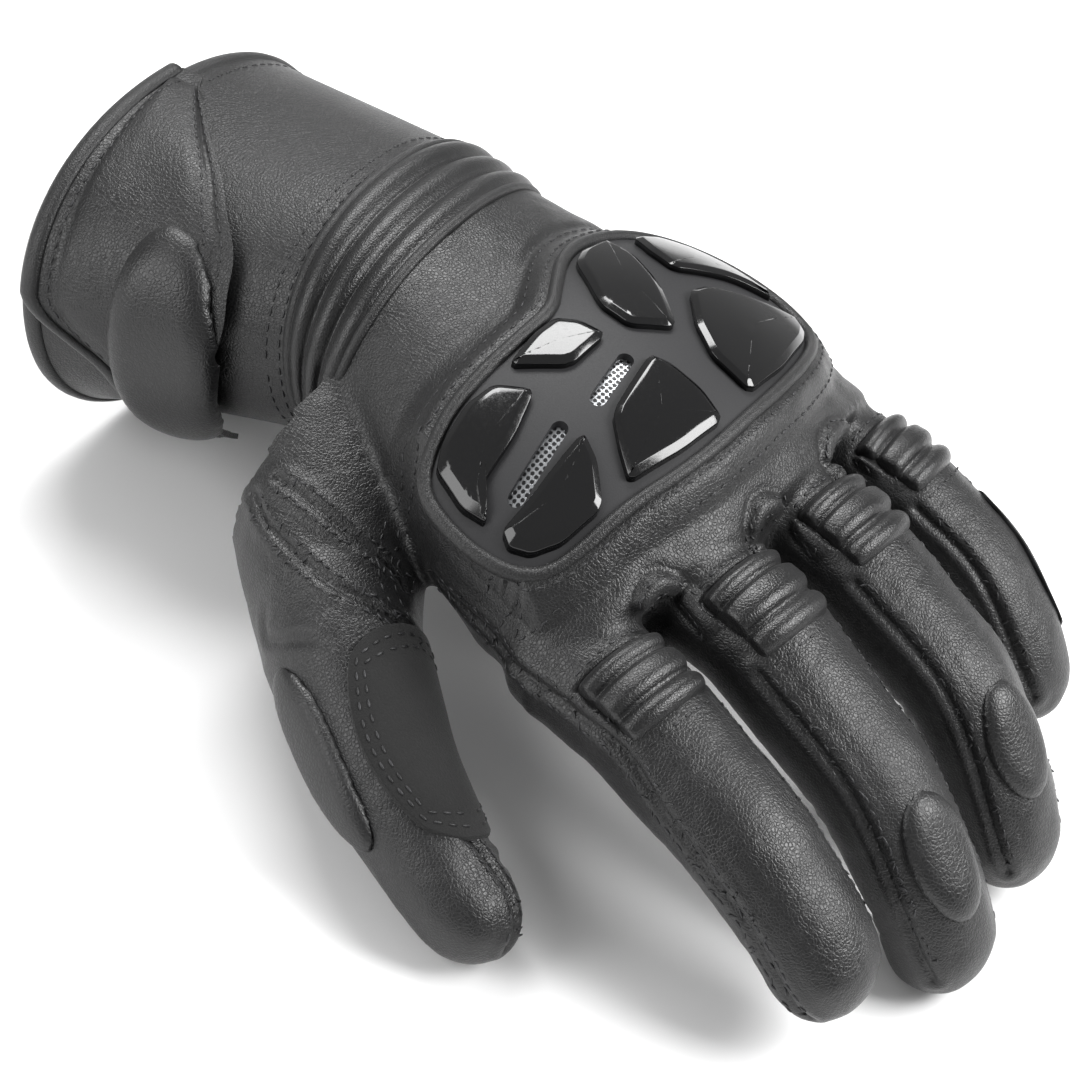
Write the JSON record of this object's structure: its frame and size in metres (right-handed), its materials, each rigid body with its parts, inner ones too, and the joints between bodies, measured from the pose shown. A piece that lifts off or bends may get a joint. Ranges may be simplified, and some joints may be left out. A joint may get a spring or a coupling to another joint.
{
  "type": "riding glove",
  "caption": "Left-hand leather riding glove with hard vented knuckle guard, pleated knuckles and wrist, padded closure flap and gauntlet cuff.",
  "frame": {"origin": "middle of the bounding box at its base, the surface the glove stands on", "axes": "+X towards the thumb side, +Y towards the fingertips, +Z out of the back of the hand"},
  "size_m": [0.1562, 0.2545, 0.0863],
  "materials": {
    "lining_knit": "knitted lining, dark grey",
    "gloss_plate": "glossy moulded plastic",
    "matte_web": "matte moulded plastic",
    "metal_mesh": "fine woven wire mesh",
    "foam": "closed-cell foam",
    "suede": "napped suede",
    "knit_patch": "ribbed aramid knit",
    "hook_tape": "hook tape",
    "loop_tape": "loop tape",
    "binding_leather": "folded leather binding",
    "pleat_leather": "pleated leather over elastic",
    "shell_leather": "grained black goatskin"
  },
  "bodies": {
    "hand": {"back_panel": "shell_leather", "palm_panel": "shell_leather", "thumb_side_gusset": "shell_leather", "hand_liner": "lining_knit", "thumb_root": "shell_leather", "guard_rim": "shell_leather", "guard_foam": "foam", "guard_web": "matte_web", "guard_mesh": "metal_mesh", "guard_plate_1": "gloss_plate", "guard_plate_2": "gloss_plate", "guard_plate_3": "gloss_plate", "guard_plate_4": "gloss_plate", "guard_plate_5": "gloss_plate", "guard_plate_6": "gloss_plate", "guard_plate_7": "gloss_plate"},
    "cuff": {"cuff_back": "shell_leather", "cuff_palm": "shell_leather", "cuff_binding": "binding_leather", "cuff_liner": "lining_knit", "loop_patch": "loop_tape", "wrist_stretch_band": "pleat_leather", "wrist_gather": "shell_leather"},
    "flap": {"closure_flap": "shell_leather", "flap_binding": "binding_leather", "wrist_pad": "shell_leather", "hook_patch": "hook_tape"},
    "index_finger": {"index_back": "shell_leather", "index_front": "shell_leather", "index_sidewalls": "shell_leather", "index_liner": "lining_knit", "index_stretch_panel": "pleat_leather", "index_knuckle_skin": "shell_leather"},
    "middle_finger": {"middle_back": "shell_leather", "middle_front": "shell_leather", "middle_sidewalls": "shell_leather", "middle_liner": "lining_knit", "middle_stretch_panel": "pleat_leather", "middle_knuckle_skin": "shell_leather", "middle_pad": "shell_leather"},
    "ring_finger": {"ring_back": "shell_leather", "ring_front": "shell_leather", "ring_sidewalls": "shell_leather", "ring_liner": "lining_knit", "ring_stretch_panel": "pleat_leather", "ring_knuckle_skin": "shell_leather", "ring_pad": "shell_leather"},
    "little_finger": {"little_back": "shell_leather", "little_front": "shell_leather", "little_sidewalls": "shell_leather", "little_liner": "lining_knit", "little_stretch_panel": "pleat_leather", "little_knuckle_skin": "shell_leather", "little_side_patch": "knit_patch"},
    "thumb": {"thumb_outer": "shell_leather", "thumb_inner": "shell_leather", "thumb_liner": "lining_knit", "thumb_pad": "shell_leather", "thumb_patch": "suede", "thumb_base_skin": "shell_leather"}
  },
  "joints": [
    {"name": "index_flex", "type": "hinge", "parent": "hand", "child": "index_finger", "pos_m": [0.031, 0.05393, 0.04406], "axis": [-0.9856, 0.0517, 0.1608], "range_deg": [-15, 40], "deforming": ["index_stretch_panel", "index_knuckle_skin"]},
    {"name": "middle_flex", "type": "hinge", "parent": "hand", "child": "middle_finger", "pos_m": [0.001, 0.05699, 0.05131], "axis": [-0.9973, 0, 0.0738], "range_deg": [-15, 40], "deforming": ["middle_stretch_panel", "middle_knuckle_skin"]},
    {"name": "ring_flex", "type": "hinge", "parent": "hand", "child": "ring_finger", "pos_m": [-0.031, 0.0543, 0.0529], "axis": [-0.9983, -0.0523, -0.0248], "range_deg": [-15, 40], "deforming": ["ring_stretch_panel", "ring_knuckle_skin"]},
    {"name": "little_flex", "type": "hinge", "parent": "hand", "child": "little_finger", "pos_m": [-0.062, 0.04584, 0.04838], "axis": [-0.9779, -0.1724, -0.1183], "range_deg": [-15, 40], "deforming": ["little_stretch_panel", "little_knuckle_skin"]},
    {"name": "thumb_flex", "type": "hinge", "parent": "hand", "child": "thumb", "pos_m": [0.051, -0.001, 0.0273], "axis": [-0.1905, 0.3541, 0.9156], "range_deg": [-12, 10], "deforming": ["thumb_base_skin"]},
    {"name": "wrist_flex", "type": "hinge", "parent": "hand", "child": "cuff", "pos_m": [-0.015, -0.05, 0.0513], "axis": [0.9877, 0.1564, 0], "range_deg": [-15, 10], "deforming": ["wrist_stretch_band", "wrist_gather"]},
    {"name": "flap_open", "type": "hinge", "parent": "cuff", "child": "flap", "pos_m": [0.0048, -0.08551, 0.07311], "axis": [-0.497, -0.8662, 0.0517], "range_deg": [0, 60]}
  ]
}
